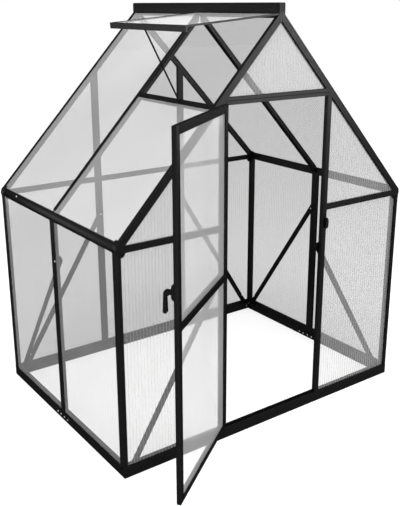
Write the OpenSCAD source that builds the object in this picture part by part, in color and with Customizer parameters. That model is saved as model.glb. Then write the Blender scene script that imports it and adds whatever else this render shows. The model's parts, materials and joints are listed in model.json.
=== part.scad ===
// Small gable greenhouse: a near-black aluminium frame glazed with clear twin-wall sheets.
// It has a hinged door in the front gable and a roof vent propped open in the left slope.
// Millimetres. X runs along the front gable, Y from front to back, Z up.
// The origin is the middle of the front base rail's underside.

/* [Overall] */
// Width over the side walls
width = 1800; // [1500:10:2400]
// Depth over the gables
depth = 1295; // [1100:5:2600]
// Height of the roof line where it meets the side wall
eave_h = 1138; // [950:1:1400]
// Roof pitch in degrees
pitch = 46.8; // [35:0.1:52]

/* [Base rail] */
// Height of the outer lip
base_h = 56; // [45:1:90]
// How far the inner lip stands above the outer one
base_lip = 12; // [4:1:20]
// Depth of the rail on the ground
base_d = 34; // [28:1:60]
// Height of the rail's deep foot
base_foot_h = 30; // [20:1:36]
// Length of the plate that joins the two halves of a side rail
splice_len = 160; // [100:5:240]

/* [Frame bars] */
// Depth of the side wall bars
side_d = 20; // [16:1:30]
// Depth of the gable bars
gable_d = 22; // [20:1:34]
// Width of a corner post on the side wall
corner_w = 41; // [34:1:60]
// Width of the side wall mullions
side_mullion_w = 46; // [34:1:60]
// Width of the back gable mullions
back_mullion_w = 38; // [30:1:60]
// Width of the door posts
door_post_w = 30; // [26:1:50]
// Height of the eave ties
tie_h = 28; // [24:1:50]
// Height of the bar over the doorway
header_h = 35; // [24:1:60]
// Face of the rafters, square to the slope
rafter_face = 32; // [26:1:50]
// Width of the middle rafters under the sheets
mid_rafter_w = 36; // [30:1:60]
// Width of the middle rafters' cap over the sheets
mid_cap_w = 25; // [22:1:60]
// Depth of the middle rafters
mid_rafter_d = 26; // [20:1:50]
// Thickness of the flat diagonal braces
brace_t = 3; // [2:0.5:5]
// Width of the diagonal braces
brace_w = 34; // [14:1:40]
// Distance of a brace's foot from the building's corner
brace_foot = 74; // [60:1:150]
// Height of the tops of the braces
brace_top = 908; // [700:1:1000]
// How far the tips of the front braces stick past the door posts
brace_past = 27; // [0:1:40]
// How far the left brace's top stands in front of the middle of its mullion
left_brace_shift = 34; // [0:1:60]

/* [Eave and ridge] */
// Height of the eave beam's underside above the roof line, downwards
beam_drop = 34; // [28:1:44]
// Radius of the eave beam's rounded outer face
beam_r = 37; // [32:1:60]
// How far the eave beam's cap reaches over the roof sheets
beam_cap = 12; // [10:1:16]
// How far the corner pieces reach below the eave beam
corner_skirt = 19; // [10:1:40]
// Width of the ridge beam
ridge_w = 35; // [30:1:60]
// Height of the ridge beam above the roof line's peak
ridge_rise = 35; // [20:1:60]
// Thickness of the ridge end caps
ridge_cap_t = 4; // [2:1:8]
// Chamfer along the ridge beam's top edges
ridge_chamfer = 6; // [1:1:10]

/* [Glazing] */
// Thickness of the twin-wall sheets
sheet_t = 4; // [4:1:6]
// How far a sheet runs into the bars that hold it
bite = 8; // [5:1:9]
// Clearance round a sheet and between pieces that only touch
fit = 0.3; // [0.2:0.1:0.5]
// Sheet's distance behind the face of the side walls
side_seat = 2.5; // [1.5:0.5:6]
// Sheet's distance behind the face of the gables
gable_seat = 12; // [8:1:12]
// Sheet's depth below the roof line
roof_seat = 3; // [2:0.5:6]

/* [Doorway and door] */
// Clear width between the door posts
doorway_w = 627; // [560:1:800]
// Height of the doorway's top above the ground
doorway_top = 1691; // [1500:1:1750]
// Angle of the open door from closed, as drawn
door_open = 144.2; // [0:0.1:165]
// How far the closed leaf laps over the free side's post
door_lap = 8; // [4:1:16]
// How far the leaf laps over the bar above the doorway
door_lap_top = 14; // [4:1:20]
// Thickness of the door leaf
door_t = 20; // [16:1:26]
// Gap between the closed leaf and the door posts
door_gap = 5.5; // [5:1:8]
// Height of the leaf's lower edge
door_z0 = 106; // [80:1:140]
// Width of the stiles
stile_w = 35; // [28:1:50]
// Height of the leaf's top rail
top_rail_h = 36; // [28:1:60]
// Height of the leaf's middle rail
mid_rail_h = 31; // [24:1:60]
// Underside of the middle rail above the ground
mid_rail_z = 889; // [700:1:1000]
// Height of the leaf's bottom rail
bottom_rail_h = 18; // [14:1:60]
// How far the rails' outer flanges reach past them
rail_flange = 18; // [10:1:30]
// Sheet's distance behind the leaf's outer face
door_seat = 8; // [6:1:10]

/* [Door hardware] */
// Radius of the hinge barrels
barrel_r = 5; // [4:0.5:6]
// Radius of the hinge pins
pin_r = 2.5; // [2:0.5:3]
// Length of one hinge barrel
barrel_len = 28; // [20:1:40]
// Heights of the hinges above the leaf's lower edge, as shares of its height
hinge_at = [0.06, 0.5, 0.94];
// Height of the handle's spindle
handle_z = 1056; // [900:1:1150]
// Length of the lever below its spindle
lever_len = 90; // [60:1:130]
// Distance of the lever's inner side from the leaf's outer face
lever_out = 38; // [24:1:50]

/* [Roof vent] */
// Slope distance from the eave to the vent sill's upper edge
sill_s = 766; // [500:1:1100]
// Width of the vent sill along the slope
sill_w = 26; // [20:1:40]
// Length of the vent from its hinge
vent_len = 516; // [300:1:700]
// Angle of the open vent below the horizontal
vent_droop = 5; // [-20:1:20]
// Height of the vent's deep front rail
vent_rail_h = 28; // [20:1:50]
// Width of the vent's rails, seen from above
vent_edge = 11; // [10:1:20]
// Height of the vent's thin side and back rails
vent_side_h = 8; // [8:1:20]

/* [Hidden] */
$fn = 48;

half_w = width / 2;
front_y = -base_d / 2;
back_y = front_y + depth;
mid_y = (front_y + back_y) / 2;
slope = tan(pitch);
lean = cos(pitch);
base_in_h = base_h + base_lip;
side_in = half_w - side_d;              // inner face of the side walls
beam_z = eave_h - beam_drop;            // underside of the eave beams
tie_z = beam_z;                         // underside of the ties
tie_top = tie_z + tie_h;
door_post_in = doorway_w / 2;
door_post_out = door_post_in + door_post_w;
back_mullion_x = width / 6;
back_mullion_in = back_mullion_x - back_mullion_w / 2;
back_mullion_out = back_mullion_x + back_mullion_w / 2;
rafter_drop = rafter_face / lean;       // rafter's height measured upright
head_z = min(doorway_top, soffit_z(door_post_in) - 15); // the rafters limit the doorway's height
header_top = head_z + header_h;
sheet_floor = base_h - bite;            // bottom of the sheets in the base rails
ridge_top = roof_z(0) + ridge_rise;
slope_len = (half_w - ridge_w / 2) / lean;
vent_front = front_y + 1;
vent_back = mid_y - 2;
hinge_leaf_t = 2.5;                     // plate that carries a hinge on the post's side
hinge_x = -door_post_out - hinge_leaf_t; // door hinge axis
hinge_y = front_y - door_gap - door_t;
leaf_from = 8;                          // leaf's hinge edge, measured from the hinge axis
door_len = door_post_in + door_lap - hinge_x - leaf_from;
door_z1 = head_z + door_lap_top;        // leaf's upper edge
spindle_s = leaf_from + door_len - stile_w / 2;
FRAME = [0.07, 0.07, 0.075];
FITTING = [0.03, 0.03, 0.03];
SHEET = [0.85, 0.88, 0.88, 0.45];

// Roof line and rafter underside at a distance x from the middle
function roof_z(x) = eave_h + (half_w - abs(x)) * slope;
function soffit_z(x) = roof_z(x) - rafter_drop;
// Distance from the middle at which the rafter's underside has height z
function soffit_x(z) = half_w - (z + rafter_drop - eave_h) / slope;
// Height of a sheet's sloping edge inside the rafter, grown by g
function sheet_top_z(x, g) = soffit_z(x) + (bite + g) / lean;
function sheet_top_x(z, g) = half_w - (z - (bite + g) / lean + rafter_drop - eave_h) / slope;

// ---- placing ----
module both_sides() { children(); mirror([1, 0, 0]) children(); }
module both_ends() { children(); translate([0, 2 * mid_y, 0]) mirror([0, 1, 0]) children(); }
module at_back() { translate([0, 2 * mid_y, 0]) mirror([0, 1, 0]) children(); }
// Draws an outline in X and Z and gives it a thickness along Y
module upright(y, thick) translate([0, y + thick, 0]) rotate([90, 0, 0]) linear_extrude(thick) children();
// Draws an outline in Y and Z and gives it a thickness along X
module sideways(x, thick)
  translate([x, 0, 0]) rotate([90, 0, 90]) linear_extrude(thick) children();
// Slope frame of the left roof: X up the slope from the eave, Z square to the roof line
module on_slope() translate([-half_w, 0, eave_h]) rotate([0, -pitch, 0]) children();
module on_slopes() both_sides() on_slope() children();
module block(x0, x1, y0, y1, z0, z1) translate([x0, y0, z0]) cube([x1 - x0, y1 - y0, z1 - z0]);
// Flat bar between two points of a plane, with its corners cut off
module flat_bar_2d(p, q, w) {
  run = q - p;
  a = -w / 2;
  b = norm(run) + w / 2;
  cut = w / 8;
  translate(p) rotate(atan2(run[1], run[0]))
    polygon([[a, -cut], [a + cut, -w / 2], [b - cut, -w / 2], [b, -cut],
             [b, cut], [b - cut, w / 2], [a + cut, w / 2], [a, cut]]);
}

// ---- sheets; g grows them into the pockets that hold them ----
module gable_sheet_slab(g) upright(front_y + gable_seat - g, sheet_t + 2 * g) children();
module wall_sheet_outline(x_in, g)
  polygon([[x_in - bite - g, sheet_floor - g], [side_in + bite + g, sheet_floor - g],
           [side_in + bite + g, tie_z + bite + g], [x_in - bite - g, tie_z + bite + g]]);
module upper_sheet_outline(x_in, g) {
  low = tie_top - bite - g;
  tip = min(side_in - fit + g, sheet_top_x(low + 3, g));
  polygon([[x_in - bite - g, low], [tip, low], [tip, sheet_top_z(tip, g)],
           [x_in - bite - g, sheet_top_z(x_in - bite - g, g)]]);
}
module gable_top_outline(g) {
  low = header_top - bite - g;
  foot = sheet_top_x(low, g);
  reach = door_post_in + bite + g;
  intersection() {
    polygon([[-foot, low], [foot, low], [0, sheet_top_z(0, g)]]);
    translate([-reach, low]) square([2 * reach, ridge_top]);
  }
}
module back_middle_low_outline(g) {
  x = back_mullion_in + bite + g;
  translate([-x, sheet_floor - g]) square([2 * x, tie_z + bite + 2 * g - sheet_floor]);
}
module back_middle_top_outline(g) {
  x = back_mullion_in + bite + g;
  low = tie_top - bite - g;
  polygon([[-x, low], [x, low], [x, sheet_top_z(x, g)], [0, sheet_top_z(0, g)], [-x, sheet_top_z(x, g)]]);
}
module front_wall_glazing(g) gable_sheet_slab(g) both_sides_2d() wall_sheet_outline(door_post_out, g);
module both_sides_2d() { children(); mirror([1, 0]) children(); }
module front_gable_glazing(g) gable_sheet_slab(g) {
  both_sides_2d() upper_sheet_outline(door_post_out, g);
  gable_top_outline(g);
}
module back_wall_glazing(g) at_back() gable_sheet_slab(g) {
  both_sides_2d() wall_sheet_outline(back_mullion_out, g);
  back_middle_low_outline(g);
}
module back_gable_glazing(g) at_back() gable_sheet_slab(g) {
  both_sides_2d() upper_sheet_outline(back_mullion_out, g);
  back_middle_top_outline(g);
}
module left_wall_glazing(g) both_ends() {
  from = front_y + corner_w - bite - g;
  to = mid_y - side_mullion_w / 2 + bite + g;
  block(-half_w + side_seat - g, -half_w + side_seat + sheet_t + g, from, to,
        sheet_floor - g, beam_z + bite + g);
}
module roof_glazing_bay(s_from, s_to, g)
  on_slope() block(s_from - g, s_to + g, front_y + gable_d - bite - g, mid_y - mid_cap_w / 2 + bite + g,
                   -roof_seat - sheet_t - g, -roof_seat + g);
roof_sheet_from = bite;                       // lower edge, up the slope from the eave line
roof_sheet_to = slope_len + bite;
module left_roof_glazing(g) {
  roof_glazing_bay(roof_sheet_from, sill_s - sill_w + bite, g);
  at_back() roof_glazing_bay(roof_sheet_from, roof_sheet_to, g);
}
module right_roof_glazing(g)
  mirror([1, 0, 0]) both_ends() roof_glazing_bay(roof_sheet_from, roof_sheet_to, g);
module glazing_pockets() {
  front_wall_glazing(fit);
  front_gable_glazing(fit);
  back_wall_glazing(fit);
  back_gable_glazing(fit);
  both_sides() left_wall_glazing(fit);
  left_roof_glazing(fit);
  right_roof_glazing(fit);
}

// ---- base rails ----
// Section across a rail: X inwards from the outer face, Y up
module base_section(seat, depth_in) difference() {
  polygon([[0, 0], [base_d, 0], [base_d, base_foot_h], [depth_in, base_foot_h + 8],
           [depth_in, base_in_h], [seat, base_in_h], [seat, base_h], [0, base_h]]);
  translate([seat - fit, sheet_floor]) square([sheet_t + 2 * fit, base_in_h]);
}
// Feet of the posts and mullions, which stand in notches down to the outer lip
module post_feet() {
  both_sides() both_ends()
    block(-half_w - 1, -side_in + fit, front_y - 1, front_y + corner_w + fit, base_h, base_in_h + 1);
  both_sides()
    block(door_post_in - fit, door_post_out + fit, front_y - 1, front_y + gable_d + fit, base_h, base_in_h + 1);
  both_sides()
    block(back_mullion_in - fit, back_mullion_out + fit, back_y - gable_d - fit, back_y + 1, base_h, base_in_h + 1);
  both_sides()
    block(-half_w - 1, -side_in + fit, mid_y - side_mullion_w / 2 - fit, mid_y + side_mullion_w / 2 + fit,
          base_h, base_in_h + 1);
}
module base_rail_front() color(FRAME) difference() {
  translate([-half_w, front_y, 0]) rotate([90, 0, 90]) linear_extrude(width) base_section(gable_seat, gable_d);
  post_feet();
}
module base_rail_back() color(FRAME) difference() {
  at_back() translate([-half_w, front_y, 0]) rotate([90, 0, 90]) linear_extrude(width)
    base_section(gable_seat, gable_d);
  post_feet();
}
splice_gap = 0.6;                             // joint between the halves of a side rail
module base_rail_left() color(FRAME) difference() {
  both_ends() translate([-half_w, mid_y - splice_gap / 2, 0]) rotate([90, 0, 0])
    linear_extrude(depth / 2 - base_d - splice_gap / 2) base_section(side_seat, side_d);
  post_feet();
}
module base_rail_right() mirror([1, 0, 0]) base_rail_left();
splice_t = 2.5;
module base_splices() color(FRAME) both_sides()
  block(-half_w + base_d, -half_w + base_d + splice_t, mid_y - splice_len / 2, mid_y + splice_len / 2,
        4, base_foot_h - 3);

// ---- posts and mullions ----
corner_r = 3;                                 // rounding of a corner post's outer edge
groove_w = 1.6;                               // lines drawn along the faces of the bars
groove_d = 1;
module face_groove(a, b) both_ends() both_sides() upright(front_y - 1, 1 + groove_d)
  polygon([a, b, b + [0, groove_w], a + [0, groove_w]]);
module upright_groove(x, top) both_ends() both_sides() upright(front_y - 1, 1 + groove_d)
  translate([x, base_h - 1]) square([groove_w, top - base_h + 2]);
module corner_posts() color(FRAME) difference() {
  both_sides() both_ends()
    block(-half_w, -side_in, front_y, front_y + corner_w, base_h, beam_z - corner_skirt);
  both_sides() both_ends() translate([-half_w, front_y, base_h - 1])
    linear_extrude(beam_z - corner_skirt - base_h + 2) difference() {
      translate([-1, -1]) square(corner_r + 1);
      translate([corner_r, corner_r]) circle(corner_r);
    }
  glazing_pockets();
}
module gable_post_outline(x0, x1)
  polygon([[x0, base_h], [x1, base_h], [x1, soffit_z(x1)], [x0, soffit_z(x0)]]);
module door_posts() color(FRAME) difference() {
  upright(front_y, gable_d) both_sides_2d() gable_post_outline(door_post_in, door_post_out);
  upright_groove(door_post_in + 5, soffit_z(door_post_in));
  glazing_pockets();
}
module back_mullions() color(FRAME) difference() {
  at_back() upright(front_y, gable_d) both_sides_2d() gable_post_outline(back_mullion_in, back_mullion_out);
  upright_groove(back_mullion_x - groove_w / 2, soffit_z(back_mullion_in));
  glazing_pockets();
}
module side_mullions() color(FRAME) difference() {
  both_sides()
    block(-half_w, -side_in, mid_y - side_mullion_w / 2, mid_y + side_mullion_w / 2, base_h, beam_z);
  glazing_pockets();
}

// ---- eaves ----
// Section across an eave beam: X inwards from the wall's face, Y up. The outer face is an arc from
// the underside to the edge of a cap over the roof sheet, and the sheet lies on a shelf under the cap.
module beam_section() {
  low = [0, beam_z];
  high = [beam_cap, eave_h + beam_cap * slope];
  chord = high - low;
  half_chord = norm(chord) / 2;
  inward = [chord[1], -chord[0]] / norm(chord);
  centre = (low + high) / 2 + sqrt(beam_r * beam_r - half_chord * half_chord) * inward;
  shelf = (roof_seat + sheet_t + fit) / lean;
  intersection() {
    translate(centre) circle(beam_r);
    translate([-beam_r, beam_z]) square([beam_r + beam_cap, high[1] - beam_z]);
  }
  polygon([[beam_cap / 2, beam_z], [side_d, beam_z], [side_d, eave_h + side_d * slope - shelf],
           [beam_cap / 2, eave_h + beam_cap * slope - shelf - 4]]);
}
module eave_beams() color(FRAME) difference() {
  both_sides() translate([-half_w, back_y - corner_w, 0]) rotate([90, 0, 0])
    linear_extrude(depth - 2 * corner_w) beam_section();
  glazing_pockets();
}
corner_tab = 24;
// Stepped foot that carries the tie's end
module corner_foot_outline() {
  x = -side_in;
  low = tie_z - corner_skirt - 2;
  polygon([[x, tie_z], [x, low], [x + corner_tab / 2, low], [x + 0.7 * corner_tab, tie_z - 15],
           [x + 0.9 * corner_tab, tie_z - 13], [x + corner_tab, tie_z - 4], [x + corner_tab, tie_z]]);
}
module eave_corners() color(FRAME) difference() {
  both_sides() both_ends() {
    translate([-half_w, front_y + corner_w, 0]) rotate([90, 0, 0]) linear_extrude(corner_w) {
      beam_section();
      translate([0, beam_z - corner_skirt]) square([side_d, corner_skirt + side_d]);
      polygon([[beam_cap / 2, beam_z], [side_d, beam_z], [side_d, eave_h + side_d * slope],
               [beam_cap, eave_h + beam_cap * slope]]);
    }
    upright(front_y + 4, gable_seat - 5) corner_foot_outline();
  }
  glazing_pockets();
}
module tie_outline(x_in) {
  x_out = min(side_in, soffit_x(tie_z + 2));  // a deep rafter cuts the tie short
  polygon([[x_in, tie_z], [x_out, tie_z], [x_out, min(tie_top, soffit_z(x_out))],
           [min(x_out, soffit_x(tie_top)), tie_top], [x_in, tie_top]]);
}
module front_ties() color(FRAME) difference() {
  upright(front_y, gable_d) both_sides_2d() tie_outline(door_post_out);
  face_groove([0, tie_z + tie_h / 2], [side_in + 1, tie_z + tie_h / 2]);
  glazing_pockets();
}
module back_ties() color(FRAME) difference() {
  at_back() upright(front_y, gable_d) {
    both_sides_2d() tie_outline(back_mullion_out);
    translate([-back_mullion_in, tie_z]) square([2 * back_mullion_in, tie_h]);
  }
  glazing_pockets();
}
module door_header() color(FRAME) difference() {
  upright(front_y, gable_d) intersection() {
    translate([-door_post_in, head_z]) square([doorway_w, header_h]);
    polygon([[-soffit_x(head_z), head_z], [soffit_x(head_z), head_z], [0, soffit_z(0)]]);
  }
  face_groove([-1, head_z + header_h / 2], [doorway_w, head_z + header_h / 2]);
  glazing_pockets();
}

// ---- roof ----
module rafter_outline(x_low, x_high)
  polygon([[x_low, roof_z(x_low)], [x_high, roof_z(x_high)], [x_high, soffit_z(x_high)], [x_low, soffit_z(x_low)]]);
module gable_rafters() color(FRAME) difference() {
  both_ends() upright(front_y, gable_d) both_sides_2d() rafter_outline(-side_in, -fit);
  for (drop = [0.3, 0.7])
    face_groove([fit + 14, roof_z(fit + 14) - drop * rafter_drop],
                [side_in - 14, roof_z(side_in - 14) - drop * rafter_drop]);
  glazing_pockets();
}
module middle_rafter_outline(from, to) {
  x0 = -side_in;
  x1 = -ridge_w / 2;
  polygon([[x0, roof_z(x0) - from / lean], [x1, roof_z(x1) - from / lean],
           [x1, roof_z(x1) - to / lean], [x0, roof_z(x0) - to / lean]]);
}
module middle_rafters() color(FRAME) difference() {
  under = roof_seat + sheet_t + fit;
  union() {
    upright(mid_y - mid_cap_w / 2, mid_cap_w) both_sides_2d() middle_rafter_outline(0, under + 1);
    upright(mid_y - mid_rafter_w / 2, mid_rafter_w) both_sides_2d() middle_rafter_outline(under, mid_rafter_d);
  }
  glazing_pockets();
}
module ridge_cap_outline() {
  w = ridge_w / 2;
  polygon([[-w, roof_z(w)], [0, roof_z(0)], [w, roof_z(w)], [w, ridge_top - ridge_chamfer],
           [w - ridge_chamfer, ridge_top], [ridge_chamfer - w, ridge_top], [-w, ridge_top - ridge_chamfer]]);
}
ridge_line = 1.6;                             // depth of the lines along the ridge's sides
ridge_web = 16;                               // height of the web that holds the roof sheets' edges
module ridge_web_outline() {
  w = ridge_w / 2;
  polygon([[-w, roof_z(w) - ridge_web], [0, roof_z(0) - ridge_web], [w, roof_z(w) - ridge_web],
           [w, roof_z(w)], [0, roof_z(0)], [-w, roof_z(w)]]);
}
module ridge_beam() color(FRAME) difference() {
  union() {
    upright(front_y + ridge_cap_t, depth - 2 * ridge_cap_t) difference() {
      ridge_cap_outline();
      for (drop = [13, 25]) both_sides_2d()
        translate([ridge_w / 2 - ridge_line, ridge_top - drop]) square([ridge_line + 1, 1.5 * ridge_line]);
    }
    upright(front_y + gable_d, depth - 2 * gable_d) ridge_web_outline();
  }
  glazing_pockets();
}
module ridge_caps() color(FITTING) both_ends() upright(front_y, ridge_cap_t) ridge_cap_outline();

// ---- roof vent, fixed open ----
module vent_sill() color(FRAME) difference() {
  vent_sill_bar();
  glazing_pockets();
}
vent_knuckle = 3;
vent_x = -ridge_w / 2 - vent_knuckle - fit;   // hinge axis, clear of the ridge beam and the roof line
vent_z = roof_z(vent_x) + (vent_knuckle + fit) / lean;
vent_top = 5;                                 // the vent's upper face above its hinge axis
// Vent frame: X outwards from the hinge axis, Z up
module on_vent()
  translate([vent_x, 0, vent_z]) rotate([0, 180 - vent_droop, 0]) mirror([0, 0, 1]) children();
vent_bite = vent_edge - 5;
module vent_sheet_block(g)
  on_vent() block(vent_edge - vent_bite - g, vent_len - vent_edge + vent_bite + g,
                  vent_front + vent_edge - vent_bite - g, vent_back - vent_edge + vent_bite + g,
                  vent_top - 2 - sheet_t - g, vent_top - 2 + g);
module vent_rail() block(vent_len - vent_edge, vent_len, vent_front, vent_back, vent_top - vent_rail_h, vent_top);
module vent_sill_bar()
  on_slope() block(sill_s - sill_w, sill_s, front_y + gable_d, mid_y - mid_rafter_w / 2, -rafter_face, 0);
module vent_frame() color(FRAME) difference() {
  on_vent() {
    difference() {
      block(vent_knuckle - 1, vent_len, vent_front, vent_back, vent_top - vent_side_h, vent_top);
      block(vent_edge, vent_len - vent_edge, vent_front + vent_edge, vent_back - vent_edge,
            -vent_edge, vent_top + 1);
    }
    vent_rail();
    translate([0, vent_back, 0]) rotate([90, 0, 0]) cylinder(r = vent_knuckle, h = vent_back - vent_front);
  }
  vent_sheet_block(fit);
}
module vent_sheet() color(SHEET) vent_sheet_block(0);
// Prop between the sill and the vent's front rail, cut flush with both
stay_w = 12;
stay_t = 7;
module vent_stay() color(FITTING) difference() {
  bay = mid_y - mid_rafter_w / 2 - front_y - gable_d;
  reach_in = 6;
  top_x = vent_len - vent_edge / 2;
  top_drop = vent_rail_h - vent_top - reach_in;
  top = [vent_x - top_x * cos(vent_droop) + top_drop * sin(vent_droop), front_y + gable_d + 0.52 * bay,
         vent_z - top_x * sin(vent_droop) - top_drop * cos(vent_droop)];
  foot = [-half_w + (sill_s - sill_w / 2) * lean, front_y + gable_d + 0.42 * bay,
          eave_h + (sill_s - sill_w / 2) * sin(pitch)];
  run = top - foot;
  translate(foot) rotate([0, acos(run[2] / norm(run)), atan2(run[1], run[0])])
    translate([-stay_t / 2, -stay_w / 2, 0]) cube([stay_t, stay_w, norm(run)]);
  on_vent() block(0, vent_len + 20, vent_front, vent_back, vent_top - vent_rail_h, vent_top);
  vent_sill_bar();
}

// ---- diagonal braces ----
brace_foot_z = base_foot_h + 11 + 0.72 * brace_w;
module brace_outline(x_foot, x_top) flat_bar_2d([x_foot, brace_foot_z], [x_top, brace_top], brace_w);
module front_braces() color(FRAME) upright(front_y + gable_d, brace_t)
  both_sides_2d() brace_outline(half_w - brace_foot, door_post_in - brace_past + 0.62 * brace_w);
module back_braces() color(FRAME) at_back() upright(front_y + gable_d, brace_t)
  both_sides_2d() brace_outline(half_w - brace_foot, back_mullion_x);
module side_brace(y_top) sideways(-side_in, brace_t) brace_outline(back_y - brace_foot, y_top);
module side_braces() color(FRAME) {
  side_brace(mid_y - left_brace_shift);
  mirror([1, 0, 0]) side_brace(mid_y);
}

// ---- glazing ----
module front_wall_sheets() color(SHEET) front_wall_glazing(0);
module front_gable_sheets() color(SHEET) front_gable_glazing(0);
module back_wall_sheets() color(SHEET) back_wall_glazing(0);
module back_gable_sheets() color(SHEET) back_gable_glazing(0);
module left_wall_sheets() color(SHEET) left_wall_glazing(0);
module right_wall_sheets() color(SHEET) mirror([1, 0, 0]) left_wall_glazing(0);
module left_roof_sheets() color(SHEET) left_roof_glazing(0);
module right_roof_sheets() color(SHEET) right_roof_glazing(0);

// ---- doorway hardware on the frame ----
// Oval block on the door post that the latch closes behind
keeper_w = 22;
keeper_h = 60;
module oval_2d(w, h) {
  translate([0, (h - w) / 2]) circle(w / 2);
  translate([0, (w - h) / 2]) circle(w / 2);
  translate([-w / 2, (w - h) / 2]) square([w, h - w]);
}
module latch_keeper() color(FITTING)
  translate([door_post_in + door_lap + 5.5 + keeper_w / 2, front_y, handle_z - 22]) rotate([90, 0, 0]) {
    linear_extrude(8) oval_2d(keeper_w, keeper_h);
    linear_extrude(14) oval_2d(keeper_w - 5, keeper_h - 12);
  }
function hinge_z(k) = door_z0 + (door_z1 - door_z0) * hinge_at[k];
module hinge_brackets() color(FITTING) for (k = [0:2]) translate([0, 0, hinge_z(k)]) {
  block(-door_post_out - hinge_leaf_t, -door_post_out, hinge_y, front_y + gable_seat - 1, -barrel_len - 1, -1);
  translate([hinge_x, hinge_y, -barrel_len - 1]) cylinder(r = barrel_r, h = barrel_len);
  translate([hinge_x, hinge_y, -2]) cylinder(r = pin_r, h = barrel_len);
}

// ---- door ----
// Door frame: X along the leaf from the hinge axis, Y from the outer face inwards
module on_door() translate([hinge_x, hinge_y, 0]) rotate([0, 0, -door_open]) children();
stile_in = leaf_from + stile_w;
stile_out = leaf_from + door_len - stile_w;
module door_glazing(g) on_door() {
  block(stile_in - bite - g, stile_out + bite + g, door_seat - g, door_seat + sheet_t + g,
        door_z0 + bottom_rail_h - bite - g, mid_rail_z + bite + g);
  block(stile_in - bite - g, stile_out + bite + g, door_seat - g, door_seat + sheet_t + g,
        mid_rail_z + mid_rail_h - bite - g, door_z1 - top_rail_h + bite + g);
}
module door_hinge_stile() color(FRAME) difference() {
  on_door() block(leaf_from, stile_in, 0, door_t, door_z0, door_z1);
  door_glazing(fit);
}
module door_free_stile() color(FRAME) difference() {
  on_door() block(stile_out, leaf_from + door_len, 0, door_t, door_z0, door_z1);
  door_glazing(fit);
}
module door_rail(z0, z1, flange_down, flange_up) {
  block(stile_in, stile_out, 0, door_t, z0, z1);
  block(stile_in, stile_out, 0, door_seat - fit, z0 - flange_down, z1 + flange_up);
}
module door_rails() color(FRAME) difference() {
  on_door() {
    door_rail(door_z0, door_z0 + bottom_rail_h, 0, rail_flange);
    door_rail(mid_rail_z, mid_rail_z + mid_rail_h, 0, rail_flange);
    door_rail(door_z1 - top_rail_h, door_z1, 0, 0);
  }
  door_glazing(fit);
}
module door_sheets() color(SHEET) door_glazing(0);
rosette_t = 13;
rosette_w = 30;
rosette_h = 70;
module door_rosette() color(FITTING) on_door() translate([spindle_s, 0, handle_z]) rotate([90, 0, 0]) {
  linear_extrude(rosette_t - 5) oval_2d(rosette_w, rosette_h);
  linear_extrude(rosette_t) oval_2d(rosette_w - 7, rosette_h - 10);
}
module door_hinge_leaves() color(FITTING) on_door() for (k = [0:2]) translate([0, 0, hinge_z(k)]) {
  difference() {
    union() {
      cylinder(r = barrel_r, h = barrel_len);
      block(0, leaf_from, -1, 2, 0, barrel_len);
    }
    translate([0, 0, -1]) cylinder(r = pin_r + 0.1, h = barrel_len + 2);
  }
}
// The lever's side view: X away from the door, Y up. A thick neck turns down through an elbow into a
// hanging grip that is slim at the top and flares to a round end.
neck_r = 9;
grip_top_w = 11;
grip_end_r = 9.5;
elbow_r = 13;
module lever_side_2d() {
  out = lever_out + neck_r;               // outer side of the grip
  grip = out - grip_top_w / 2;            // the grip's middle line
  translate([rosette_t + fit, -neck_r]) square([out - elbow_r - rosette_t - fit, 2 * neck_r]);
  intersection() {
    translate([out - elbow_r - neck_r, neck_r - 2 * elbow_r]) square([elbow_r + neck_r, 2 * elbow_r]);
    translate([out - elbow_r, neck_r - elbow_r]) circle(elbow_r);
  }
  polygon([[grip - grip_end_r + 0.5, grip_end_r - lever_len], [grip + grip_end_r - 0.5, grip_end_r - lever_len],
           [out, neck_r - elbow_r], [out - grip_top_w, -neck_r + 4]]);
  translate([grip, grip_end_r - lever_len]) circle(grip_end_r);
}
lever_w = 16;
module door_lever() color(FITTING) on_door() translate([spindle_s, 0, handle_z]) rotate([90, 0, 0])
  rotate([0, -90, 0]) translate([0, 0, -lever_w / 2]) linear_extrude(lever_w) lever_side_2d();

base_rail_front();
base_rail_back();
base_rail_left();
base_rail_right();
base_splices();
corner_posts();
door_posts();
side_mullions();
back_mullions();
eave_beams();
eave_corners();
front_ties();
back_ties();
door_header();
gable_rafters();
middle_rafters();
ridge_beam();
ridge_caps();
vent_sill();
vent_frame();
vent_sheet();
vent_stay();
front_braces();
back_braces();
side_braces();
front_wall_sheets();
front_gable_sheets();
back_wall_sheets();
back_gable_sheets();
left_wall_sheets();
right_wall_sheets();
left_roof_sheets();
right_roof_sheets();
latch_keeper();
hinge_brackets();
door_hinge_stile();
door_free_stile();
door_rails();
door_sheets();
door_rosette();
door_hinge_leaves();
door_lever();
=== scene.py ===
"""Finish, fittings and studio for a small gable greenhouse with twin-wall sheets.

The bars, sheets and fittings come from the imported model. This file gives them their surfaces, adds
the flutes inside the sheets and the screws, and sets the stage.
"""

import json
import math

import bmesh
import bpy
from bpy.props import FloatProperty, FloatVectorProperty, PointerProperty
from mathutils import Matrix, Vector

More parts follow.
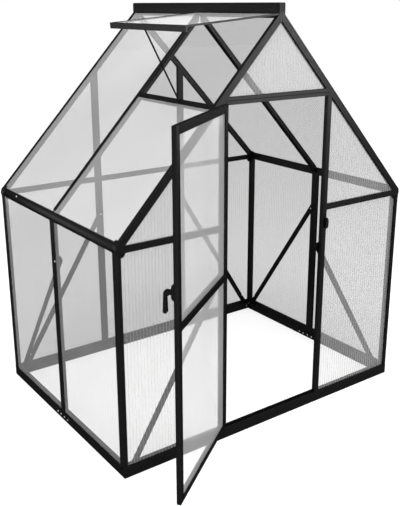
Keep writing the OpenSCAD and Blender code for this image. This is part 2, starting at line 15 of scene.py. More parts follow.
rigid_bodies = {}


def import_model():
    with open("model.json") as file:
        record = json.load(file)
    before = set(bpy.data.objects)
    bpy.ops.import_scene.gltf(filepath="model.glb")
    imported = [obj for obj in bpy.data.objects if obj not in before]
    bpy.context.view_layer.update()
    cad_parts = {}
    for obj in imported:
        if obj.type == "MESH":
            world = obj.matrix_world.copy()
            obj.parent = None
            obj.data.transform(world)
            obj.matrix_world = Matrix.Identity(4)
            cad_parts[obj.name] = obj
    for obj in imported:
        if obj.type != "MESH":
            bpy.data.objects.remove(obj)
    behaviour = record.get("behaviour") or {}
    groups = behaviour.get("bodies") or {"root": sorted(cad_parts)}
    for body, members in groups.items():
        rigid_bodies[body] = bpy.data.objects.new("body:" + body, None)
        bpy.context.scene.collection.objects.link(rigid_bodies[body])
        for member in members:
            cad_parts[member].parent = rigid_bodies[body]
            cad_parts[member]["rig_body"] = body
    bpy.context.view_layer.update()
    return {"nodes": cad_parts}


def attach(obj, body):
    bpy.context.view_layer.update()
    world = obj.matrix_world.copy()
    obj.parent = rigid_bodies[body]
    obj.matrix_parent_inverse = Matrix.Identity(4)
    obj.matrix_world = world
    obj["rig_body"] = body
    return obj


bl_info = {
    "name": "Gable greenhouse",
    "version": (1, 0, 0),
    "blender": (4, 5, 0),
    "location": "View3D > Sidebar > Greenhouse",
    "description": "Finishes, fittings and studio for a gable greenhouse with an open door",
    "category": "Object",
}

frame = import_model()
NODES = frame["nodes"]
MM = 0.001
# Painted light: the door's sheets are a lighter copy of the sheet colour, standing in for the light
# on the open door.
DOOR_PAINTED_LIGHT = 1.11      # how much lighter the door's sheets are than the others
LINE_HAZE = 0.35         # haze that a full flute line adds
LINE_SHADE = 0.3         # share of the sheet's colour left in a full flute line
WEB_SHADE = 0.45         # share of the sheet's colour in a web
FLOOR_GREY = 0.55
FLOOR_LIFT = 0.64        # brings the floor to white where it is seen or mirrored

SHEET_NODES = [n for n in NODES if "sheet" in n]
LINED_NODES = [n for n in SHEET_NODES if n.startswith("front")]
FITTING_NODES = ["ridge_caps", "vent_stay", "latch_keeper", "hinge_brackets", "door_rosette",
                 "door_hinge_leaves", "door_lever"]
BAR_NODES = [n for n in NODES if n not in SHEET_NODES and n not in FITTING_NODES]


# ---------------------------------------------------------------- settings

class GreenhouseBarSettings(bpy.types.PropertyGroup):
    """Powder coat on the aluminium bars"""

    colour: FloatVectorProperty(
        name="Coat colour", description="Colour of the powder coat", subtype="COLOR",
        default=(0.004, 0.004, 0.004), min=0, max=1)
    roughness: FloatProperty(
        name="Coat roughness", description="Gloss of the powder coat, lower is shinier",
        default=0.38, min=0.05, max=1)
    sheen: FloatProperty(
        name="Coat sheen", description="How strongly the powder coat mirrors light",
        default=0.146, min=0, max=1)
    grain: FloatProperty(
        name="Grain size", description="Size of the coat's orange-peel grain", unit="LENGTH",
        default=0.0016, min=0.0005, max=0.01)
    edge: FloatProperty(
        name="Edge radius", description="Rounding of the bars' long edges", unit="LENGTH",
        default=0.0007, min=0, max=0.002)


class GreenhouseSheetSettings(bpy.types.PropertyGroup):
    """Twin-wall sheets"""

    colour: FloatVectorProperty(
        name="Sheet colour", description="Colour of the clear sheet's haze", subtype="COLOR",
        default=(0.70, 0.70, 0.70), min=0, max=1)
    haze: FloatProperty(
        name="Haze", description="How much the two skins of a sheet hide what is behind them",
        default=0.29, min=0, max=1)
    door_haze: FloatProperty(
        name="Door haze", description="The same for the sheets of the door, which are hazier",
        default=0.38, min=0, max=1)
    # Painted shade: a wall or roof sheet's faces seen from inside are black and hide this much of
    # what is behind them.
    inner: FloatProperty(
        name="Inner skin", description="How much a sheet dims what is seen through it from inside",
        default=0.50, min=0, max=1)
    pitch: FloatProperty(
        name="Flute pitch", description="Distance from one inner web to the next", unit="LENGTH",
        default=0.0175, min=0.004, max=0.03)
    lines: FloatProperty(
        name="Flute lines", description="How dark the flute lines of the front sheets are",
        default=0.4, min=0, max=1)
    web_haze: FloatProperty(
        name="Web haze", description="How much one inner web hides what is behind it",
        default=0.04, min=0, max=1)
    web: FloatProperty(
        name="Web thickness", description="Thickness of the webs between the two skins",
        unit="LENGTH", default=0.0005, min=0.0002, max=0.002)
    skin: FloatProperty(
        name="Skin thickness", description="Thickness of each skin of a sheet", unit="LENGTH",
        default=0.0005, min=0.0002, max=0.001)


class GreenhouseFittingSettings(bpy.types.PropertyGroup):
    """Moulded fittings and screws"""

    plastic: FloatVectorProperty(
        name="Plastic colour", description="Colour of the moulded plastic fittings",
        subtype="COLOR", default=(0.003, 0.003, 0.003), min=0, max=1)
    steel: FloatVectorProperty(
        name="Screw colour", description="Colour of the zinc-plated screws", subtype="COLOR",
        default=(0.62, 0.62, 0.63), min=0, max=1)
    head_radius: FloatProperty(
        name="Screw head radius", description="Radius of a screw's domed head", unit="LENGTH",
        default=0.0042, min=0.002, max=0.008)
    head_height: FloatProperty(
        name="Screw head height", description="Height of a screw's domed head", unit="LENGTH",
        default=0.0024, min=0.001, max=0.005)


class GreenhouseStudioSettings(bpy.types.PropertyGroup):
    """Floor, light and camera"""

    azimuth: FloatProperty(
        name="Camera azimuth", description="Direction the camera looks in, from the front",
        subtype="ANGLE", default=math.radians(-36.16))
    elevation: FloatProperty(
        name="Camera elevation", description="Camera's tilt below the horizon", subtype="ANGLE",
        default=math.radians(16.80))
    camera: FloatVectorProperty(
        name="Camera place", description="Where the camera stands", subtype="TRANSLATION",
        unit="LENGTH", default=(-2.362, -2.674, 2.121))
    lens: FloatProperty(
        name="Lens", description="Focal length in millimetres", default=53.2, min=10)
    shift: FloatVectorProperty(
        name="Lens shift", description="Shift of the picture on the sensor", size=2,
        default=(-0.0156, -0.0445))
    sky: FloatProperty(
        name="Sky light", description="Strength of the even light from all round",
        default=0.73, min=0)


# ---------------------------------------------------------------- mesh helpers

def new_piece(name, bm, material, body, smooth_angle=None):
    """Turns a bmesh into a named object that rides on a body."""
    mesh = bpy.data.meshes.new(name)
    bmesh.ops.recalc_face_normals(bm, faces=bm.faces)
    bm.to_mesh(mesh)
    bm.free()
    mesh.materials.append(material)
    piece = bpy.data.objects.new(name, mesh)
    bpy.context.scene.collection.objects.link(piece)
    if smooth_angle is not None:
        mesh.shade_smooth()
        mesh.set_sharp_from_angle(angle=smooth_angle)
    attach(piece, body)
    return piece


def axes_towards(direction):
    """A rotation whose local Z points along direction."""
    return Vector(direction).to_track_quat("Z", "Y").to_matrix().to_4x4()


def spin_profile(bm, profile, segments, place):
    """A solid of revolution about local Z from (radius, height) points that start and end on it."""
    rings = []
    for radius, height in profile:
        if radius == 0:
            rings.append([bm.verts.new(place @ Vector((0, 0, height)))])
            continue
        rings.append([
            bm.verts.new(place @ Vector((radius * math.cos(a), radius * math.sin(a), height)))
            for a in (2 * math.pi * i / segments for i in range(segments))])
    for low, high in zip(rings, rings[1:]):
        for i in range(segments):
            j = (i + 1) % segments
            corners = {low[i % len(low)]: None, low[j % len(low)]: None,
                       high[j % len(high)]: None, high[i % len(high)]: None}
            bm.faces.new(list(corners))


def add_screw(bm, point, direction, radius, height):
    """A domed screw head with a round socket, seated on a face."""
    place = Matrix.Translation(point) @ axes_towards(direction)
    dome = [(radius, 0), (radius, 0.15 * height)]
    dome += [(radius * math.cos(a), 0.15 * height + 0.85 * height * math.sin(a))
             for a in (math.radians(d) for d in (20, 40, 58))]
    socket = 0.42 * radius
    dome += [(socket, height), (socket, 0.45 * height), (0, 0.40 * height)]
    spin_profile(bm, [(0, 0)] + dome, 18, place)


def seat(name, start, direction):
    """Where a line from start first meets a CAD node, and the outward normal there."""
    node = NODES[name]
    back = node.matrix_world.inverted()
    hit, point, normal, _ = node.ray_cast(back @ Vector(start), back.to_3x3() @ Vector(direction))
    if not hit:
        raise RuntimeError(f"no face of {name} for a screw at {tuple(start)}")
    return node.matrix_world @ point, (node.matrix_world.to_3x3() @ normal).normalized()


def islands(obj):
    """The vertex positions of each separate solid of a CAD node."""
    bm = bmesh.new()
    bm.from_mesh(obj.data)
    bmesh.ops.remove_doubles(bm, verts=bm.verts, dist=1e-5)
    seen, found = set(), []
    for start in bm.verts:
        if start in seen:
            continue
        stack, group = [start], []
        seen.add(start)
        while stack:
            v = stack.pop()
            group.append(v.co.copy())
            for e in v.link_edges:
                w = e.other_vert(v)
                if w not in seen:
                    seen.add(w)
                    stack.append(w)
        found.append(group)
    bm.free()
    return found


# ---------------------------------------------------------------- shader groups and materials

def group_tree(name, inputs, outputs):
    """An empty shader node group with named sockets, given as (name, type, default)."""
    tree = bpy.data.node_groups.new(name, "ShaderNodeTree")
    for socket, kind, default in inputs:
        s = tree.interface.new_socket(name=socket, in_out="INPUT", socket_type=kind)
        s.default_value = default
    for socket, kind in outputs:
        tree.interface.new_socket(name=socket, in_out="OUTPUT", socket_type=kind)
    return tree, tree.nodes.new("NodeGroupInput"), tree.nodes.new("NodeGroupOutput")


def add_node(tree, kind, **values):
    """A node with its settings; _0 and _1 are its first inputs, and a socket is linked there."""
    node = tree.nodes.new(kind)
    for key, value in values.items():
        socket = node.inputs[int(key[1:])] if key[0] == "_" else None
        if socket is None:
            setattr(node, key, value)
        elif isinstance(value, bpy.types.NodeSocket):
            tree.links.new(value, socket)
        else:
            socket.default_value = value
    return node


def math_node(tree, operation, a, b, clamp=False):
    """The result of a two-input sum on sockets or numbers."""
    return add_node(tree, "ShaderNodeMath", operation=operation, use_clamp=clamp, _0=a,
                    _1=b).outputs[0]


def noise_node(tree, vector, scale, detail=3.0):
    """The height of a noise pattern at a socket's position."""
    node = add_node(tree, "ShaderNodeTexNoise")
    tree.links.new(vector, node.inputs["Vector"])
    if isinstance(scale, bpy.types.NodeSocket):
        tree.links.new(scale, node.inputs["Scale"])
    else:
        node.inputs["Scale"].default_value = scale
    node.inputs["Detail"].default_value = detail
    return node.outputs[0]


def surface_grain_group():
    """Fine grain and slow unevenness that the coat and the plastic share."""
    tree, given, out = group_tree(
        "Surface grain",
        [("Colour", "NodeSocketColor", (0.02, 0.02, 0.02, 1)),
         ("Roughness", "NodeSocketFloat", 0.4),
         ("Grain scale", "NodeSocketFloat", 600.0),
         ("Unevenness", "NodeSocketFloat", 0.2),
         ("Dust", "NodeSocketFloat", 0.1)],
        [("Colour", "NodeSocketColor"), ("Roughness", "NodeSocketFloat"),
         ("Height", "NodeSocketFloat")])
    where = add_node(tree, "ShaderNodeTexCoord").outputs["Object"]
    fine = noise_node(tree, where, given.outputs["Grain scale"], 2.0)
    slow = noise_node(tree, where, 6.0, 4.0)
    smudge = noise_node(tree, where, 38.0, 5.0)
    normal = add_node(tree, "ShaderNodeNewGeometry").outputs["Normal"]
    upward = add_node(tree, "ShaderNodeSeparateXYZ", _0=normal).outputs[2]
    settled = math_node(tree, "MULTIPLY", math_node(tree, "MAXIMUM", upward, 0.0), smudge)
    dusty = math_node(tree, "MULTIPLY", settled, given.outputs["Dust"], clamp=True)
    centred = math_node(tree, "SUBTRACT", slow, 0.5)
    lift = math_node(tree, "MULTIPLY_ADD", centred, given.outputs["Unevenness"])
    lift.node.inputs[2].default_value = 1.0
    tinted = add_node(tree, "ShaderNodeVectorMath", operation="SCALE")
    tree.links.new(given.outputs["Colour"], tinted.inputs[0])
    tree.links.new(lift, tinted.inputs["Scale"])
    mix = add_node(tree, "ShaderNodeMix", data_type="RGBA")
    tree.links.new(dusty, mix.inputs["Factor"])
    tree.links.new(tinted.outputs[0], mix.inputs["A"])
    mix.inputs["B"].default_value = (0.16, 0.155, 0.15, 1)
    tree.links.new(mix.outputs["Result"], out.inputs["Colour"])
    rough_shift = math_node(tree, "MULTIPLY", math_node(tree, "SUBTRACT", smudge, 0.5), 0.18)
    rougher = math_node(tree, "ADD", given.outputs["Roughness"], rough_shift, clamp=True)
    tree.links.new(rougher, out.inputs["Roughness"])
    tree.links.new(fine, out.inputs["Height"])
    return tree


def flute_lines_group():
    """A mask of thin lines across a sheet, where its inner webs meet the skins."""
    tree, given, out = group_tree(
        "Flute lines",
        [("Across", "NodeSocketVector", (1, 0, 0)),
         ("Pitch", "NodeSocketFloat", 0.0175),
         ("Width", "NodeSocketFloat", 0.17)],
        [("Mask", "NodeSocketFloat")])
    where = add_node(tree, "ShaderNodeTexCoord").outputs["Object"]
    offset = add_node(tree, "ShaderNodeVectorMath", operation="DOT_PRODUCT")
    tree.links.new(where, offset.inputs[0])
    tree.links.new(given.outputs["Across"], offset.inputs[1])
    turns = math_node(tree, "DIVIDE", offset.outputs["Value"], given.outputs["Pitch"])
    near = math_node(tree, "PINGPONG", turns, 0.5)
    line = tree.nodes.new("ShaderNodeMapRange")
    line.interpolation_type = "SMOOTHSTEP"
    tree.links.new(near, line.inputs["Value"])
    tree.links.new(given.outputs["Width"], line.inputs["From Max"])
    line.inputs["To Min"].default_value = 1
    line.inputs["To Max"].default_value = 0
    tree.links.new(line.outputs[0], out.inputs["Mask"])
    return tree


def principled(material):
    """The material's cleared tree, its Principled shader and its output."""
    material.use_nodes = True
    tree = material.node_tree
    tree.nodes.clear()
    shader = tree.nodes.new("ShaderNodeBsdfPrincipled")
    output = tree.nodes.new("ShaderNodeOutputMaterial")
    tree.links.new(shader.outputs[0], output.inputs["Surface"])
    return tree, shader


def grained_material(name, colour, roughness, scale, unevenness=0.2, dust=0.1, bump=0.15,
                     specular=0.2, metallic=0.0, fade=0):
    """A coated, moulded or plated surface: the grain group feeding one Principled shader.

    A matt coat's texture shades itself, so its sheen fades towards the rim by the power fade.
    """
    material = bpy.data.materials.new(name)
    tree, shader = principled(material)
    grain = tree.nodes.new("ShaderNodeGroup")
    grain.node_tree = bpy.data.node_groups.get("Surface grain") or surface_grain_group()
    grain.inputs["Colour"].default_value = (*colour, 1)
    grain.inputs["Roughness"].default_value = roughness
    grain.inputs["Grain scale"].default_value = scale
    grain.inputs["Unevenness"].default_value = unevenness
    grain.inputs["Dust"].default_value = dust
    bump_node = tree.nodes.new("ShaderNodeBump")
    bump_node.inputs["Strength"].default_value = bump
    bump_node.inputs["Distance"].default_value = 0.0004
    tree.links.new(grain.outputs["Height"], bump_node.inputs["Height"])
    tree.links.new(grain.outputs["Colour"], shader.inputs["Base Color"])
    tree.links.new(grain.outputs["Roughness"], shader.inputs["Roughness"])
    tree.links.new(bump_node.outputs[0], shader.inputs["Normal"])
    shader.inputs["Specular IOR Level"].default_value = specular
    shader.inputs["Metallic"].default_value = metallic
    if fade:
        facing = tree.nodes.new("ShaderNodeLayerWeight").outputs["Facing"]
        towards = math_node(tree, "POWER", math_node(tree, "SUBTRACT", 1.0, facing), fade)
        tree.links.new(math_node(tree, "MULTIPLY", towards, specular),
                       shader.inputs["Specular IOR Level"])
    return material


def sheet_material(name, colour, haze, across=None, outward=None, pitch=0.0175, inner=0.50,
                   lines=0.0, roughness=0.22):
    """Hazy plastic that what lies behind shows through; haze is that of a whole crossing."""
    material = bpy.data.materials.new(name)
    tree, shader = principled(material)
    where = add_node(tree, "ShaderNodeTexCoord").outputs["Object"]
    cloud = noise_node(tree, where, 2.3, 3.0)
    fine = noise_node(tree, where, 90.0, 3.0)
    # A slow drift of the haze over a sheet, and a fine one inside it.
    drift = math_node(tree, "MULTIPLY", math_node(tree, "SUBTRACT", cloud, 0.5), 0.10)
    speck = math_node(tree, "MULTIPLY", math_node(tree, "SUBTRACT", fine, 0.5), 0.02)
    hidden = math_node(tree, "ADD", math_node(tree, "ADD", drift, speck), haze, clamp=True)
    painted_shade_side = 0.0
    # Sheets given an outward side get painted shade on their faces that look inwards.
    if outward:
        side = add_node(tree, "ShaderNodeVectorMath", operation="DOT_PRODUCT")
        tree.links.new(add_node(tree, "ShaderNodeTexCoord").outputs["Normal"], side.inputs[0])
        side.inputs[1].default_value = outward
        painted_shade_side = math_node(tree, "LESS_THAN", side.outputs["Value"], 0.0)
    if lines > 0:
        flutes = tree.nodes.new("ShaderNodeGroup")
        flutes.node_tree = bpy.data.node_groups.get("Flute lines") or flute_lines_group()
        flutes.inputs["Across"].default_value = across
        flutes.inputs["Pitch"].default_value = pitch
        mask = math_node(tree, "MULTIPLY", flutes.outputs["Mask"], lines)
        hidden = math_node(tree, "ADD", hidden, math_node(tree, "MULTIPLY", mask, LINE_HAZE),
                           clamp=True)
    # The face that a ray enters by hides as much as both, and the one it leaves by hides nothing.
    leaving = add_node(tree, "ShaderNodeNewGeometry").outputs["Backfacing"]
    entering = math_node(tree, "SUBTRACT", 1.0, leaving)
    if outward:
        # The outer skin is milky against the light. The faces seen from inside are painted shade:
        # black, hiding the inner share of what is behind.
        inward = math_node(tree, "MULTIPLY", painted_shade_side, math_node(tree, "SUBTRACT", inner, hidden))
        hidden = math_node(tree, "ADD", hidden, inward)
    alpha = math_node(tree, "MULTIPLY", hidden, entering)
    tree.links.new(alpha, shader.inputs["Alpha"])
    shade = add_node(tree, "ShaderNodeMix", data_type="RGBA")
    tree.links.new(cloud, shade.inputs["Factor"])
    shade.inputs["A"].default_value = (*(c * 0.93 for c in colour), 1)
    shade.inputs["B"].default_value = (*(min(1, c * 1.05) for c in colour), 1)
    body = shade.outputs["Result"]
    if lines > 0:
        darker = add_node(tree, "ShaderNodeMix", data_type="RGBA")
        tree.links.new(mask, darker.inputs["Factor"])
        tree.links.new(body, darker.inputs["A"])
        darker.inputs["B"].default_value = (*(LINE_SHADE * c for c in colour), 1)
        body = darker.outputs["Result"]
    # Painted shade: faces seen from inside are black.
    if outward:
        painted_shade_mix = add_node(tree, "ShaderNodeMix", data_type="RGBA")
        tree.links.new(painted_shade_side, painted_shade_mix.inputs["Factor"])
        tree.links.new(body, painted_shade_mix.inputs["A"])
        painted_shade_mix.inputs["B"].default_value = (0, 0, 0, 1)
        body = painted_shade_mix.outputs["Result"]
    tree.links.new(body, shader.inputs["Base Color"])
    bump_node = tree.nodes.new("ShaderNodeBump")
    bump_node.inputs["Strength"].default_value = 0.05
    bump_node.inputs["Distance"].default_value = 0.001
    tree.links.new(fine, bump_node.inputs["Height"])
    tree.links.new(bump_node.outputs[0], shader.inputs["Normal"])
    shader.inputs["Roughness"].default_value = roughness
    shader.inputs["Specular IOR Level"].default_value = 0.06
    return material


def finish_node(name, material, edge=0.0):
    """Gives a CAD node its material and rounds its long edges."""
    node = NODES[name]
    node.data.materials.clear()
    node.data.materials.append(material)
    if edge > 0:
        weld = node.modifiers.new("weld", "WELD")
        weld.merge_threshold = 1e-5
        bevel = node.modifiers.new("edges", "BEVEL")
        bevel.width = edge
        bevel.segments = 2
        bevel.limit_method = "ANGLE"
        bevel.angle_limit = math.radians(40)
        bevel.harden_normals = False


# ---------------------------------------------------------------- operators

class GREENHOUSE_OT_coat_bars(bpy.types.Operator):
    """Powder-coat every aluminium bar"""

    bl_idname = "greenhouse.coat_bars"
    bl_label = "Coat the bars"

    def execute(self, context):
        s = context.scene.greenhouse_bars
        coat = grained_material("powder_coat", s.colour, s.roughness, 1 / s.grain, dust=0.04,
                                specular=s.sheen, fade=4)
        for name in BAR_NODES:
            finish_node(name, coat, s.edge)
        return {"FINISHED"}


class GREENHOUSE_OT_mould_fittings(bpy.types.Operator):
    """Give the moulded fittings their plastic"""

    bl_idname = "greenhouse.mould_fittings"
    bl_label = "Mould the fittings"

    def execute(self, context):
        s = context.scene.greenhouse_fittings
        plastic = grained_material("moulded_plastic", s.plastic, 0.5, 1400, dust=0.02,
                                   specular=0.146, fade=4)
        for name in FITTING_NODES:
            finish_node(name, plastic, 0.0006)
        return {"FINISHED"}


class GREENHOUSE_OT_fasten(bpy.types.Operator):
    """Seat the screws of the base, the braces and the eaves"""

    bl_idname = "greenhouse.fasten"
    bl_label = "Fasten"

    def execute(self, context):
        s = context.scene.greenhouse_fittings
        context.view_layer.update()
        zinc = grained_material("zinc_plate", s.steel, 0.3, 900, dust=0.0, bump=0.05,
                                specular=0.5, metallic=1.0)
        for name, seats in self.places().items():
            bm = bmesh.new()
            for node, start, direction in seats:
                point, normal = seat(node, start, direction)
                add_screw(bm, point, normal, s.head_radius, s.head_height)
            new_piece(name, bm, zinc, "frame", math.radians(35))
        return {"FINISHED"}

    def places(self):
        """For each piece, the node, a point in front of the seat and the way to the seat."""
        middle = 0.6305
        base, braces, eaves = [], [], []
        for side, away in (("left", -1), ("right", 1)):
            for y in (0.065, 0.028, -0.011, -0.050):
                base.append((f"base_rail_{side}", (0.95 * away, middle + y, 0.022), (-away, 0, 0)))
                base.append(("base_splices", (0.80 * away, middle + y, 0.018), (away, 0, 0)))
            for end, y, way in (("front", 0.06, -1), ("back", 1.20, 1)):
                base.append((f"base_rail_{end}", (0.85 * away, y, 0.023), (0, way, 0)))
                braces.append((f"{end}_braces", (0.812 * away, y, 0.110), (0, way, 0)))
            braces.append(("front_braces", (0.3285 * away, 0.06, 0.876), (0, -1, 0)))
            braces.append(("back_braces", (0.300 * away, 1.20, 0.900), (0, 1, 0)))
            braces.append(("side_braces", (0.80 * away, 1.190, 0.110), (away, 0, 0)))
            eaves.append(("eave_beams", (0.95 * away, 1.0634, 1.1400), (-away, 0, 0)))
        braces.append(("side_braces", (-0.80, 0.630, 0.874), (-1, 0, 0)))
        braces.append(("side_braces", (0.80, 0.650, 0.880), (1, 0, 0)))
        braces.append(("side_mullions", (-0.95, 0.618, 0.897), (1, 0, 0)))
        return {"base_screws": base, "brace_screws": braces, "eave_screws": eaves}


class GREENHOUSE_OT_glaze(bpy.types.Operator):
    """Make the sheets clear and set the flutes between their two skins"""

    bl_idname = "greenhouse.glaze"
    bl_label = "Glaze"

    def execute(self, context):
        s = context.scene.greenhouse_sheets
        skins = {}
        web = sheet_material("sheet_web", tuple(WEB_SHADE * c for c in s.colour), s.web_haze)
        for name in SHEET_NODES:
            solids = islands(NODES[name])
            across, _, normal = sheet_axes(name, solids[0])
            across = across if across[max(range(3), key=lambda i: abs(across[i]))] > 0 else -across
            # Walls and roof get painted shade on their inner faces; the door and the vent don't.
            outward = None
            if NODES[name]["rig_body"] == "frame" and name != "vent_sheet":
                from_middle = sum(solids[0], Vector()) / len(solids[0]) - Vector((0, 0.63, 0.9))
                outward = tuple(normal if normal.dot(from_middle) > 0 else -normal)
            on_door = NODES[name]["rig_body"] == "door"
            # Painted light: the door's sheets take a lighter copy of the colour.
            colour = tuple(min(1, DOOR_PAINTED_LIGHT * c) for c in s.colour) if on_door else s.colour
            # Only the front sheets show where their webs meet the skin.
            lines = s.lines if name in LINED_NODES else 0.0
            key = (on_door, lines, *(round(c, 3) for c in (*across, *(outward or ()))))
            if key not in skins:
                skins[key] = sheet_material(f"sheet_skin_{len(skins) + 1}", colour,
                                            s.door_haze if on_door else s.haze, tuple(across),
                                            outward, s.pitch, s.inner, lines)
            finish_node(name, skins[key])
            self.set_flutes(name, s, web, solids)
        return {"FINISHED"}

    def set_flutes(self, name, s, material, solids):
        """Webs along the flutes of every sheet of a node, as one mesh, in step with the lines."""
        bm = bmesh.new()
        for points in solids:
            across, along, out = sheet_axes(name, points)
            flat = [(p.dot(across), p.dot(along)) for p in points]
            depth = [p.dot(out) for p in points]
            low, high = min(depth) + s.skin, max(depth) - s.skin
            first, last = min(f[0] for f in flat), max(f[0] for f in flat)
            for k in range(math.ceil(first / s.pitch + 0.2), math.floor(last / s.pitch - 0.2) + 1):
                at = k * s.pitch
                reach = span_at(flat, at)
                if reach is None or reach[1] - reach[0] < 4 * s.pitch:
                    continue
                add_web(bm, across, along, out, at, s.web, reach, (low, high))
        new_piece(name.replace("sheet", "flute"), bm, material,
                  NODES[name]["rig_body"])


def sheet_axes(name, points):
    """Unit vectors across the flutes, along them, and out of a sheet."""
    normal = flat_normal(points)
    if name == "vent_sheet":
        along = Vector((0, 1, 0))
    else:
        up = Vector((0, 0, 1))
        along = (up - normal * up.dot(normal)).normalized()
    return along.cross(normal).normalized(), along, normal


def flat_normal(points):
    """The normal of a thin flat solid: the direction in which it is thinnest."""
    best = None
    base = points[0]
    for a in points[1:]:
        for b in points[1:]:
            n = (a - base).cross(b - base)
            if n.length < 0.02:
                continue
            n.normalize()
            depth = [p.dot(n) for p in points]
            thin = max(depth) - min(depth)
            if best is None or thin < best[0] - 1e-7:
                best = (thin, n)
    return best[1]


def span_at(flat, at):
    """The lowest and highest place along the flutes where a convex sheet has the given offset."""
    hits = []
    for i, (u, v) in enumerate(flat):
        for x, y in flat[i + 1:]:
            if (u - at) * (x - at) <= 0 and abs(u - x) > 1e-9:
                hits.append(v + (y - v) * (at - u) / (x - u))
    return (min(hits), max(hits)) if hits else None


def add_web(bm, across, along, out, at, thickness, reach, depth):
    """One thin upright strip between the skins."""
    corners = []
    for a in (at - thickness / 2, at + thickness / 2):
        for l in (reach[0] + MM, reach[1] - MM):
            for d in depth:
                corners.append(bm.verts.new(across * a + along * l + out * d))
    sides = ((0, 1, 3, 2), (4, 6, 7, 5), (0, 4, 5, 1), (2, 3, 7, 6), (0, 2, 6, 4), (1, 5, 7, 3))
    for quad in sides:
        bm.faces.new([corners[i] for i in quad])


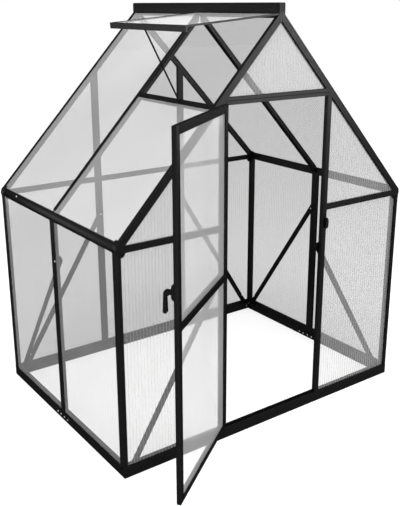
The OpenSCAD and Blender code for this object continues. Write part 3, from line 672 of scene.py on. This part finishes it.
class GREENHOUSE_OT_studio(bpy.types.Operator):
    """Set the floor, the backdrop, the lamps and the camera"""

    bl_idname = "greenhouse.studio"
    bl_label = "Studio"

    def execute(self, context):
        s = context.scene.greenhouse_studio
        self.floor()
        self.sky(context.scene, s.sky)
        self.lamps()
        camera_data = bpy.data.cameras.new("camera")
        camera_data.lens = s.lens
        camera_data.shift_x, camera_data.shift_y = s.shift
        camera_data.clip_end = 200
        camera = bpy.data.objects.new("camera", camera_data)
        context.scene.collection.objects.link(camera)
        camera.location = s.camera
        camera.rotation_euler = (math.pi / 2 - s.elevation, 0, s.azimuth)
        context.scene.camera = camera
        context.scene.view_settings.view_transform = "Standard"
        context.scene.cycles.transparent_max_bounces = 64
        return {"FINISHED"}

    def seen_or_mirrored(self, tree):
        """1 for rays that show a background: from the camera, off gloss and through glass."""
        rays = add_node(tree, "ShaderNodeLightPath").outputs
        both = math_node(tree, "MAXIMUM", rays["Is Camera Ray"], rays["Is Glossy Ray"])
        return math_node(tree, "MAXIMUM", both, rays["Is Transmission Ray"])

    def floor(self):
        material = bpy.data.materials.new("pale_floor")
        tree, shader = principled(material)
        shader.inputs["Base Color"].default_value = (FLOOR_GREY, FLOOR_GREY, FLOOR_GREY, 1)
        shader.inputs["Roughness"].default_value = 0.9
        shader.inputs["Specular IOR Level"].default_value = 0.0
        shader.inputs["Emission Color"].default_value = (1, 1, 1, 1)
        lift = math_node(tree, "MULTIPLY", self.seen_or_mirrored(tree), FLOOR_LIFT)
        tree.links.new(lift, shader.inputs["Emission Strength"])
        bm = bmesh.new()
        half, centre = 30.0, Vector((0, 0.63, 0))
        bm.faces.new([bm.verts.new(centre + Vector((x * half, y * half, -0.0005)))
                      for x, y in ((-1, -1), (1, -1), (1, 1), (-1, 1))])
        mesh = bpy.data.meshes.new("floor")
        bm.to_mesh(mesh)
        bm.free()
        mesh.materials.append(material)
        floor = bpy.data.objects.new("floor", mesh)
        bpy.context.scene.collection.objects.link(floor)

    def sky(self, scene, strength):
        world = bpy.data.worlds.new("studio")
        scene.world = world
        world.use_nodes = True
        tree = world.node_tree
        tree.nodes.clear()
        background = tree.nodes.new("ShaderNodeBackground")
        output = tree.nodes.new("ShaderNodeOutputWorld")
        background.inputs["Color"].default_value = (1, 1, 1, 1)
        lift = math_node(tree, "MULTIPLY", self.seen_or_mirrored(tree), 1 - strength)
        tree.links.new(math_node(tree, "ADD", lift, strength), background.inputs["Strength"])
        tree.links.new(background.outputs[0], output.inputs["Surface"])

    def lamps(self):
        # Three soft boxes draw the sheen on the bars' faces, and the others light the sheets.
        for name, place, target, wide, high, power, sheen in (
                ("front_box", (3.2, -3.6, 2.1), (0.3, 0.0, 1.5), 3.0, 2.0, 560, True),
                ("right_box", (3.8, 1.1, 1.7), (-0.6, -0.2, 1.5), 1.6, 1.4, 150, True),
                ("eave_box", (-3.4, 4.6, 0.95), (-0.9, 0.6, 1.13), 3.2, 2.0, 190, True),
                ("fill_box", (3.2, -3.6, 2.4), (0.3, 0.0, 1.0), 3.0, 2.0, 92, False),
                ("top_box", (-1.0, -0.5, 5.0), (0, 0.6, 1.0), 3.0, 3.0, 200, False)):
            data = bpy.data.lights.new(name, "AREA")
            data.shape = "RECTANGLE"
            data.size = wide
            data.size_y = high
            data.energy = power
            lamp = bpy.data.objects.new(name, data)
            bpy.context.scene.collection.objects.link(lamp)
            lamp.location = place
            aim = Vector(target) - Vector(place)
            lamp.rotation_euler = aim.to_track_quat("-Z", "Y").to_euler()
            lamp.visible_camera = False
            lamp.visible_diffuse = not sheen
            lamp.visible_glossy = sheen


class GREENHOUSE_PT_panel(bpy.types.Panel):
    """The greenhouse's pieces and settings"""

    bl_idname = "GREENHOUSE_PT_panel"
    bl_label = "Greenhouse"
    bl_space_type = "VIEW_3D"
    bl_region_type = "UI"
    bl_category = "Greenhouse"

    def draw(self, context):
        for operator in OPERATORS:
            self.layout.operator(operator.bl_idname)
        for holder in SETTINGS:
            box = self.layout.box()
            for key in getattr(context.scene, holder).__annotations__:
                box.prop(getattr(context.scene, holder), key)


SETTINGS = {
    "greenhouse_bars": GreenhouseBarSettings,
    "greenhouse_sheets": GreenhouseSheetSettings,
    "greenhouse_fittings": GreenhouseFittingSettings,
    "greenhouse_studio": GreenhouseStudioSettings,
}
OPERATORS = (GREENHOUSE_OT_coat_bars, GREENHOUSE_OT_mould_fittings, GREENHOUSE_OT_fasten,
             GREENHOUSE_OT_glaze, GREENHOUSE_OT_studio)


def register():
    for group in SETTINGS.values():
        bpy.utils.register_class(group)
    for operator in OPERATORS:
        bpy.utils.register_class(operator)
    bpy.utils.register_class(GREENHOUSE_PT_panel)
    for name, group in SETTINGS.items():
        setattr(bpy.types.Scene, name, PointerProperty(type=group))


def unregister():
    for name in SETTINGS:
        delattr(bpy.types.Scene, name)
    bpy.utils.unregister_class(GREENHOUSE_PT_panel)
    for operator in reversed(OPERATORS):
        bpy.utils.unregister_class(operator)
    for group in reversed(SETTINGS.values()):
        bpy.utils.unregister_class(group)


def main():
    register()
    bpy.ops.greenhouse.coat_bars()
    bpy.ops.greenhouse.mould_fittings()
    bpy.ops.greenhouse.fasten()
    bpy.ops.greenhouse.glaze()
    bpy.ops.greenhouse.studio()


if __name__ == "__main__":
    main()
